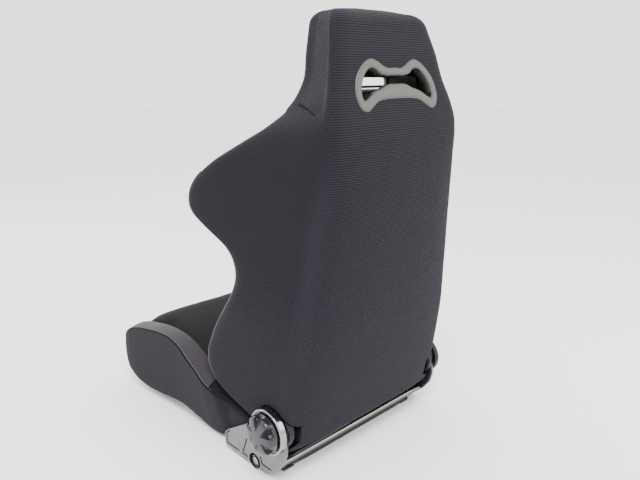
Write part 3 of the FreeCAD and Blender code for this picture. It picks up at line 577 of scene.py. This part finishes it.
def build_cover_seams(rings):
    """The welt round the front of each side bolster, the head's side seams, and black cords painted as shade
    in the folds at the neck.
    """
    heights = rings[:, 0, 2]
    for side, label in ((1, "left"), (-1, "right")):
        welt = []
        for ring in rings[(heights > WELT_Z[0]) & (heights < WELT_Z[1])]:
            welt.append(ring[np.argmax(side * ring[:, 0] - 0.9 * ring[:, 1])])
        welt = relax(np.array(welt), 6)
        # The welt cord's light grey is partly a painted highlight along the wing's front edge.
        cover_cord(label + "_wing_welt", welt + np.array([0.4 * side, -0.4, 0]), 1.25, "welt")
        seam = []
        for ring in rings[(heights > HEAD_SEAM_Z[0]) & (heights < HEAD_SEAM_Z[1])]:
            outer = ring[side * ring[:, 0] > 0.6 * np.abs(ring[:, 0]).max()]
            seam.append(outer[np.argmin(np.abs(outer[:, 1] - 226 - 0.1 * (930 - ring[0, 2])))])
        seam = relax(np.array(seam), 6)
        cover_cord(label + "_head_seam", seam - np.array([0.35 * side, 0, 0]), 0.7, "thread")
        surface = rings.reshape(-1, 3)
        fold = []
        for t in np.linspace(0, 1, 16):
            point = (NECK_FOLD[0] + t * (NECK_FOLD[1] - NECK_FOLD[0])) * np.array([side, 1, 1])
            fold.append(surface[np.argmin(np.linalg.norm(surface - point, axis=1))])
        fold = relax(np.array(fold), 8)
        # A black cord along the crease: painted shade in the fold.
        fold_shade_cord = fold + np.array([-0.9 * side, 0, -0.4])
        cover_cord(label + "_neck_fold_shade", fold_shade_cord, 2.0, "painted_shade_black")


def hub_hole(side):
    """The round hole in one side of the cover, over the recliner."""
    circle = [(PIVOT[0] + HUB_HOLE_R * math.cos(a), PIVOT[1] + HUB_HOLE_R * math.sin(a))
              for a in np.linspace(0, 2 * math.pi, 48, endpoint=False)]
    low, high = sorted((side * 212, side * 300))
    return prism("hole", circle, low, high, "x", mat["dark"])


def pocket_cutter():
    """The opening in the rear panel, inside the bezel."""
    front, rear = [], []
    for flat_x, flat_z in bezel_inner(1.0):
        x, y, z = tilt(flat_x, BEZEL_Y, flat_z)
        front.append((x, y - 44, z))
        rear.append((x, y + 30, z))
    cutter = grid_mesh("pocket", np.array([front, rear]), mat["dark"])
    clean_normals(cutter)
    return cutter


def slot_cutter():
    """The harness slot through the head, which widens towards the front."""
    wedge = []
    flare = (SLOT[1] - SLOT[0]) / (SLOT_Y[0] - SLOT_Y[1])
    for y in (330.0, 290.0, 140.0):
        x = SLOT[0] + flare * max(0.0, SLOT_Y[0] - y)
        outline = rounded_box(x + SLOT_LINING, SLOT[2] - SLOT_LINING, SLOT[3] + SLOT_LINING, 4)
        wedge.append([(px, y, pz) for px, pz in outline])
    cutter = grid_mesh("slot", np.array(wedge), mat["dark"])
    clean_normals(cutter)
    return cutter


def build_cover():
    rings = cover_rings()
    cover = grid_mesh("backrest_cover", rings, [mat["knit"], mat["dark"]], ring_uv(rings))
    clean_normals(cover)
    build_cover_seams(rings)
    co = vertices(cover) / MM
    out = normals(cover)
    soft = np.array([noise.noise(Vector(p) * 0.011) + 0.5 * noise.noise(Vector(p) * 0.027) for p in co])
    co = co + out * (0.9 * soft)[:, None]
    for side in (1, -1):
        flip = np.array([side, 1, 1])
        fold_to = NECK_FOLD[1] + 0.12 * (NECK_FOLD[1] - NECK_FOLD[0])
        co = crease(co * flip, out * flip, NECK_FOLD[0], fold_to, 3.4, 5.0, 2.2) * flip
    move_vertices(cover, co * MM)
    cutters = [hub_hole(1), hub_hole(-1), pocket_cutter(), slot_cutter()]
    cut(cover, cutters)
    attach(cover, "backrest")
    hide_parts("back_shell", "left_wing_bolster", "right_wing_bolster", "head_pad")


def rounded_box(x, low, high, radius):
    points = []
    for cx, cz, start in ((x - radius, high - radius, 0), (-x + radius, high - radius, 90),
                          (-x + radius, low + radius, 180), (x - radius, low + radius, 270)):
        for a in np.radians(np.linspace(start, start + 90, 7)):
            points.append((cx + radius * math.cos(a), cz + radius * math.sin(a)))
    return points


def tilt(x, y, z):
    """A point of the harness slot's rear trim, leaned forward with the head's panel."""
    c, s = math.cos(HEAD_TILT), math.sin(HEAD_TILT)
    dy, dz = y - BEZEL_Y, z - BEZEL_Z
    return x, BEZEL_Y + dy * c - dz * s, BEZEL_Z + dy * s + dz * c


def bezel_inner(grow):
    half = [(34, 826), (45, 830), (57, 838), (70, 838), (86, 831), (98, 818), (105, 797), (103, 783),
            (93, 782), (72, 794), (46, 801), (28, 810)]
    centre = np.array([60.0, 811.0])
    grown = []
    for point in half:
        away = np.array(point) - centre
        grown.append(tuple(np.array(point) + grow * away / np.linalg.norm(away)))
    return grown + [(-x, z) for x, z in reversed(grown)]


build_cover()


# ---- the backrest's insert, and the swelling that both inserts share ----------------------------
def inflate(obj, cap):
    """Swells a closed form like stuffed fabric: a remesh, then a short cloth run that moves no point
    further than the cap, in millimetres."""
    mod = obj.modifiers.new("remesh", "REMESH")
    mod.mode = "VOXEL"
    mod.voxel_size = CLOTH_VOXEL * MM
    apply_all(obj)
    rest = vertices(obj)
    cloth = obj.modifiers.new("cloth", "CLOTH")
    cloth.settings.quality = 4
    cloth.settings.use_pressure = True
    cloth.settings.uniform_pressure_force = CLOTH_PRESSURE
    cloth.settings.effector_weights.gravity = 0
    scene = bpy.context.scene
    for f in range(1, CLOTH_FRAMES + 1):
        scene.frame_set(f)
    graph = bpy.context.evaluated_depsgraph_get()
    shape = obj.evaluated_get(graph).data
    moved = np.empty(len(shape.vertices) * 3, np.float64)
    shape.vertices.foreach_get("co", moved)
    obj.modifiers.clear()
    scene.frame_set(1)
    step = moved.reshape(-1, 3) - rest
    length = np.linalg.norm(step, axis=1)
    limit = np.minimum(1, cap * MM / np.maximum(length, 1e-9))
    move_vertices(obj, rest + step * limit[:, None])
    relax = obj.modifiers.new("relax", "SMOOTH")
    relax.factor = 0.5
    relax.iterations = 4
    fine = obj.modifiers.new("fine", "SUBSURF")
    fine.levels = fine.render_levels = 1
    apply_all(obj)


def sections_mesh(name, control, material):
    """A closed form over control sections in 3-D: control has the shape (rings, points, 3)."""
    rings = bspline(np.asarray(control, float), SPLINE_STEPS)
    obj = grid_mesh(name, rings, material)
    clean_normals(obj)
    return obj


def build_back_pad():
    z = np.linspace(134, 757, 60)
    gx, gy = smooth(GROOVE, z).T
    ry = smooth(RIDGE, z)[:, 1]
    back = ry - 49
    x = gx - 3
    front = gy - 4
    half = [(0 * z, front - 5), (0.4 * x, front - 5), (0.75 * x, front - 3), (x - 8, front),
            (x - 1, front + 6), (x, front + 16), (x, 0.5 * (front + back)), (x, back - 3), (x - 4, back),
            (0.5 * x, back), (0 * z, back)]
    left = np.stack([np.stack(p, axis=1) for p in half], axis=1)
    right = left[:, -2:0:-1] * np.array([-1, 1])
    flat = np.concatenate([left, right], axis=1)
    control = np.concatenate([flat, np.repeat(z[:, None, None], flat.shape[1], axis=1)], axis=2)
    pad = sections_mesh("backrest_insert", control, mat["insert"])
    inflate(pad, 7.0)
    co = vertices(pad) / MM
    gx, gy = smooth(GROOVE, co[:, 2]).T
    facing = ramp(0, 20, gy + 16 - co[:, 1])
    sunk = sum(np.exp(-((co[:, 2] - z0) / STITCH_WIDTH) ** 2) for z0 in INSERT_LINES)
    border = np.exp(-((np.abs(co[:, 0]) - (gx - 38)) / STITCH_WIDTH) ** 2)
    inside = ramp(0, 6, gx - 40 - np.abs(co[:, 0]))
    co[:, 1] += facing * np.maximum(4.5 * sunk * inside, 4.0 * border)
    move_vertices(pad, co * MM)
    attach(pad, "backrest")
    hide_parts("back_centre_pad")


build_back_pad()


# ---- harness slot trim -------------------------------------------------------------------------
# The moulded ring on the rear panel, from its top centre round the left: its outer and inner edge,
# as (x, z, x, z).
BEZEL = [(0, 841, 0, 826), (22, 841, 26, 826), (35, 846, 43, 829), (47, 853, 53, 836), (64, 858, 64, 840),
         (80, 853.5, 75, 838), (98, 841, 87, 829), (114, 822, 98, 815), (121.5, 800, 104, 800),
         (122, 780, 105, 787), (112.5, 763, 101, 780), (98, 758, 93, 782), (83, 765, 82, 788),
         (64, 776, 66, 796), (40, 780, 45, 802), (20, 781, 26, 809), (0, 781, 0, 810)]
BEZEL_PROFILE = [(0.0, -10), (0.0, 2.4), (0.03, 3.9), (0.10, 4.9), (0.24, 5.6), (0.5, 5.9), (0.76, 5.6),
                 (0.90, 4.9), (0.97, 3.9), (1.0, 2.4), (1.0, -14)]


def build_bezel():
    half = path_points(BEZEL, 150)
    far = half[-2:0:-1] * np.array([-1, 1, -1, 1])
    loop = np.concatenate([half, far, half[:1]])
    rings = []
    for row in loop:
        outer, inner = row[:2], row[2:]
        ring = []
        for t, h in BEZEL_PROFILE:
            x, z = outer + (inner - outer) * t
            ring.append(tilt(x, BEZEL_Y + h, z))
        rings.append(ring)
    bezel = grid_mesh("harness_bezel", np.array(rings), mat["bezel_grey"], caps=False)
    clean_normals(bezel, merge=True)
    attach(bezel, "backrest")
    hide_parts("rear_bezel")


def build_front_trim():
    """The thin oval ring round the slot on the front of the head."""
    rings = []
    for margin, y in ((-0.6, 196), (-0.6, 187.2), (0.2, 186.2), (2.5, 185.6), (5.0, 186.0), (6.4, 187.2),
                      (6.8, 189.0), (6.4, 196)):
        outline = rounded_box(SLOT[1] - 4 + margin, SLOT[2] - margin, SLOT[3] + margin, 10 + margin)
        rings.append([(x, y, z) for x, z in outline])
    rings.append(rings[0])
    trim = grid_mesh("front_trim", np.array(rings), mat["bezel_grey"], caps=False)
    clean_normals(trim, merge=True)
    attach(trim, "backrest")
    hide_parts("front_bezel")


build_bezel()
build_front_trim()


# ---- recliner ----------------------------------------------------------------------------------
# The knob from its base to the top of its dome: share of the radius, share of the height, and how deep
# the scallops are there.
KNOB_PROFILE = [(0.30, 0.03, 0), (0.955, 0.0, 0), (0.985, 0.02, 0), (0.995, 0.08, 0), (1.0, 0.16, 0.15),
                (1.0, 0.32, 0.55), (0.998, 0.48, 0.8), (0.985, 0.62, 0.95), (0.95, 0.735, 1.0),
                (0.88, 0.82, 0.95), (0.78, 0.885, 0.8), (0.66, 0.93, 0.55), (0.52, 0.962, 0.28),
                (0.36, 0.985, 0.08), (0.2, 0.997, 0), (0.06, 1.0, 0)]
KNOB_SCALLOP = 0.19      # depth of a scallop, as a share of the radius


def build_knob():
    """A domed handwheel with six scalloped grips."""
    low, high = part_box("recliner_knob")
    base, top = low[0] / MM, high[0] / MM
    radius = 0.5 * (high[2] - low[2]) / MM
    lobes, around = 6, 192
    angle = np.linspace(0, 2 * math.pi, around, endpoint=False)
    valley = np.clip(0.5 - 0.5 * np.cos(lobes * angle), 0, 1) ** 2.2
    rings, dents = [], []
    for share, height, dent in KNOB_PROFILE:
        r = radius * share * (1 - KNOB_SCALLOP * dent * valley)
        x = np.full(around, base + (top - base) * height)
        rings.append(np.column_stack([x, PIVOT[0] + r * np.cos(angle), PIVOT[1] + r * np.sin(angle)]))
        dents.append(dent * valley)
    # The deeper parts of the scallops get the darker, duller copy of the gloss: painted shade in the
    # scallops.
    slots = (np.array(dents) > 0.2).astype(int)
    knob = grid_mesh("handwheel", np.array(rings), [mat["knob_gloss"], mat["knob_scallop_shade"]], slots=slots)
    clean_normals(knob)
    fine = knob.modifiers.new("fine", "SUBSURF")
    fine.levels = fine.render_levels = 1
    apply_all(knob)
    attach(knob, "recliner_drive")
    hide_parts("recliner_knob")


# Paths of the painted shade lines in the cover's grooves, as (y, z), and the bolt they ring.
COVER_LINES = [[(73, 52), (62, 42), (62, 17), (106, 17)], [(136, 60), (119, 17), (138, 17)],
               [(182, 39), (187, 23), (216, 23)]]
COVER_BOLT = (162.0, 17.0)


def build_cover_lines(side, label):
    """Painted shade: dark lines in the recliner cover's grooves, and the dark cup round its bolt."""
    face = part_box("left_recliner_cover")[1][0] / MM
    pieces = []
    for k, line in enumerate(COVER_LINES):
        points = []
        for start, end in zip(line, line[1:]):
            for t in np.linspace(0, 1, 14, endpoint=False):
                y, z = start[0] + (end[0] - start[0]) * t, start[1] + (end[1] - start[1]) * t
                points.append((side * (face - 0.9), y, z))
        points.append((side * (face - 0.9), *line[-1]))
        path = relax(np.array(points), 3)
        pieces.append(tube(label + "_cover_line_" + "abc"[k], path, 1.9, mat["painted_shade_black"], 10))
    for k, (radius, thick) in enumerate(((15.3, 1.6), (10.6, 0.9))):
        angles = np.linspace(0, 2 * math.pi, 73)[:-1]
        y, z = COVER_BOLT[0] + radius * np.cos(angles), COVER_BOLT[1] + radius * np.sin(angles)
        circle = np.column_stack([0 * y + side * (face - 1.2), y, z])
        loop = np.concatenate([circle, circle[:1]])
        pieces.append(tube(label + "_bolt_ring_" + "ab"[k], loop, thick, mat["painted_shade_black"], 10))
    for piece in pieces:
        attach(piece, "base")


build_knob()
for side, label in ((1, "left"), (-1, "right")):
    build_cover_lines(side, label)


# ---- cushion -----------------------------------------------------------------------------------
UPPER_OUTER = [(-405, 98), (-400, 120), (-383, 146), (-358, 166), (-330, 178), (-262, 195), (-193, 206),
               (-156, 208), (-115, 198), (-76, 174), (-44, 156), (-19, 139), (2, 130), (28, 117),
               (136, 88), (155, 82)]
UPPER_INNER = [(-405, 98), (-400, 122), (-382, 152), (-352, 178), (-316, 193), (-260, 206), (-192, 216),
               (-142, 217), (-96, 210), (-63, 197), (-45, 188), (-15, 165), (5, 150), (30, 130),
               (136, 96), (155, 88)]
LOWER = [(-406, 90), (-402, 74), (-393, 58), (-378, 45), (-358, 33), (-336, 25), (-150, 25), (44, 25),
         (58, 44), (155, 47)]
PLAN = [(-407, 236), (-404, 247), (-398, 255), (-386, 261), (-360, 265), (-200, 265), (-20, 263),
        (25, 258), (58, 242), (156, 240)]
FOOT_PLAN = [(-407, 238), (-402, 250), (-392, 258), (-376, 262), (-336, 261), (-250, 253), (-150, 246),
             (-40, 240), (40, 238), (58, 239), (156, 238)]
BOLSTER_IN = 222.6
STRIP_ENDS = (-392.0, 2.0)               # the suede strip's front and rear ends


def build_bolster(side, label):
    count = 120
    outer = path_points(UPPER_OUTER, count)
    inner = path_points(UPPER_INNER, count)
    lower = path_points(LOWER, count)
    x_top = np.interp(outer[:, 0], *np.array(PLAN, float).T)
    x_low = np.interp(lower[:, 0], *np.array(FOOT_PLAN, float).T)
    rows = []

    def point(x, yz):
        rows.append(np.column_stack([x + 0 * yz[:, 0], yz]))

    def between(t):
        return x_low + (x_top - x_low) * t, lower + (outer - lower) * t

    point(x_low - 8, lower)
    point(x_low - 2.5, lower + [0, 0.6])
    for t, bulge in ((0.1, 0.0), (0.3, 1.6), (0.55, 2.2), (0.8, 1.2)):
        x, yz = between(t)
        point(x + bulge, yz)
    x, yz = between(0.95)
    point(x, yz)
    point(x_top - 0.5, outer + [0, -1.5])
    point(x_top - 1.5, outer + [0, 0.5])
    point(x_top - 3.5, outer + [0, 2.0])
    for t in (0.3, 0.55, 0.8):
        crown = [0, 3.5 * math.sin(math.pi * t)]
        point(x_top + (BOLSTER_IN + 6 - x_top) * t, outer + (inner - outer) * t + crown)
    point(BOLSTER_IN + 5 + 0 * x_top, inner + [0, 1])
    point(BOLSTER_IN + 1 + 0 * x_top, inner + [0, -4])
    for t in (0.8, 0.4, 0.1):
        point(BOLSTER_IN + 0 * x_top, lower + (inner - lower) * t)
    point(BOLSTER_IN + 6 + 0 * x_top, lower)
    control = np.stack(rows, axis=1)
    control[:, :, 0] *= side
    per_point = 4
    rings = bspline(control, per_point)
    strip_from, strip_to = 9 * per_point, 13 * per_point + 2
    slots = np.zeros(rings.shape[:2], int)
    stop = int(np.argmin(np.abs(outer[:, 0] - STRIP_ENDS[1])))
    slots[:stop, strip_from:strip_to] = 1
    # Behind the strip's end the bolster's top takes the darker knit: painted shadow under the wing.
    slots[stop:, strip_from - 2:strip_to + 4] = 2
    cloths = [mat["knit_soft"], mat["strip"], mat["painted_shadow_cloth"]]
    obj = grid_mesh(label + "_cushion_bolster", rings, cloths, slots=slots)
    clean_normals(obj)
    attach(obj, "base")
    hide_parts(label + "_cushion_bolster")
    start = int(np.argmin(np.abs(outer[:, 0] - STRIP_ENDS[0])))
    edge = rings[start:stop + 2, strip_from]
    below = rings[start:stop + 2, strip_from - 3]
    fold = rings[stop, strip_from - 1:strip_to + 1]
    # Cords along the strip: the seam's light cord, partly a painted highlight on its raised edge; a painted
    # shadow just below it; and painted shade in the fold at the strip's end.
    cords = (("strip_seam", edge, 0.8, "welt"), ("strip_shadow", below, 1.4, "painted_shade_black"),
             ("strip_fold_shade", fold, 1.8, "painted_shade_black"))
    for part, path, radius, material in cords:
        cord = tube(label + "_" + part, path, radius, mat[material])
        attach(cord, "base")


for side, label in ((1, "left"), (-1, "right")):
    build_bolster(side, label)

PAD_TOP = [(-388, 96), (-386, 120), (-376, 148), (-355, 178), (-326, 199), (-299, 206), (-250, 200),
           (-100, 158), (0, 127), (60, 112), (150, 100)]
PAD_LOW = [(-386, 84), (-378, 73), (-365, 61), (-349, 50), (-327, 41), (-304, 32), (-296, 60), (-288, 84),
           (0, 84), (150, 84)]


def build_cushion_pad():
    count = 70
    top = path_points(PAD_TOP, count)
    low = path_points(PAD_LOW, count)
    reach = BOLSTER_IN - 4
    rows = []
    for x, t, drop in ((0, 1, 0), (0.45, 1, 0), (0.8, 1, 1), (0.94, 1, 5), (0.995, 0.9, 0), (1, 0.6, 0),
                       (1, 0.3, 0), (0.99, 0.05, 0), (0.95, 0, 0), (0.5, 0, 0), (0, 0, 0)):
        yz = low + (top - low) * t - [0, drop]
        rows.append(np.column_stack([x * reach + 0 * yz[:, 0], yz]))
    left = np.stack(rows, axis=1)
    right = left[:, -2:0:-1] * np.array([-1, 1, 1])
    pad = sections_mesh("cushion_insert", np.concatenate([left, right], axis=1), mat["insert"])
    inflate(pad, 6.0)
    co = vertices(pad) / MM
    behind_nose = PAD_TOP[4:]
    level = np.interp(co[:, 1], *np.array(behind_nose, float).T)
    facing = ramp(-26, -8, co[:, 2] - level)
    border = np.exp(-((np.abs(co[:, 0]) - CUSHION_SEAM_X) / STITCH_WIDTH) ** 2)
    co[:, 2] -= facing * 1.5 * border
    move_vertices(pad, co * MM)
    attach(pad, "base")
    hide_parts("cushion_pad")


build_cushion_pad()


# ---- stage, light and camera -------------------------------------------------------------------
CAMERA_PLACE = (0.9615, 1.091, 0.836)
CAMERA_PITCH = math.radians(15.45)
CAMERA_TURN = math.radians(44.3)
CAMERA_LENS = 34.6
CAMERA_SENSOR = 36.0
WORLD_STRENGTH = 2.3


def build_stage():
    mesh = bpy.data.meshes.new("floor")
    reach = 12.0
    mesh.from_pydata([(-reach, -reach, 0), (reach, -reach, 0), (reach, reach, 0), (-reach, reach, 0)], [],
                     [(0, 1, 2, 3)])
    pale = bpy.data.materials.new("floor_pale")
    pale.use_nodes = True
    pale.node_tree.nodes["Principled BSDF"].inputs["Base Color"].default_value = FLOOR_COLOUR
    pale.node_tree.nodes["Principled BSDF"].inputs["Roughness"].default_value = 0.9
    floor = link(mesh, "floor", pale)
    world = bpy.data.worlds.new("studio")
    bpy.context.scene.world = world
    world.use_nodes = True
    world.node_tree.nodes["Background"].inputs[0].default_value = (1, 1, 1, 1)
    world.node_tree.nodes["Background"].inputs[1].default_value = WORLD_STRENGTH


def area_light(name, place, target, size, power):
    data = bpy.data.lights.new(name, "AREA")
    data.shape = "DISK"
    data.size = size
    data.energy = power
    light = bpy.data.objects.new(name, data)
    bpy.context.scene.collection.objects.link(light)
    light.location = place
    light.rotation_euler = (Vector(target) - Vector(place)).to_track_quat("-Z", "Y").to_euler()


def build_camera():
    data = bpy.data.cameras.new("camera")
    data.sensor_width = CAMERA_SENSOR
    data.lens = CAMERA_LENS
    camera = bpy.data.objects.new("camera", data)
    bpy.context.scene.collection.objects.link(camera)
    level = math.cos(CAMERA_PITCH)
    ahead = Vector((-level * math.sin(CAMERA_TURN), -level * math.cos(CAMERA_TURN), -math.sin(CAMERA_PITCH)))
    camera.location = CAMERA_PLACE
    camera.rotation_euler = ahead.to_track_quat("-Z", "Y").to_euler()
    bpy.context.scene.camera = camera


build_stage()
area_light("key", (1.1, 1.35, 3.2), (0, 0.25, 0.7), 1.4, 130)
area_light("fill", (-1.6, 2.2, 1.6), (0, 0.2, 0.5), 1.8, 30)
area_light("front", (0.6, -2.6, 2.0), (0, 0.0, 0.4), 1.8, 30)
build_camera()
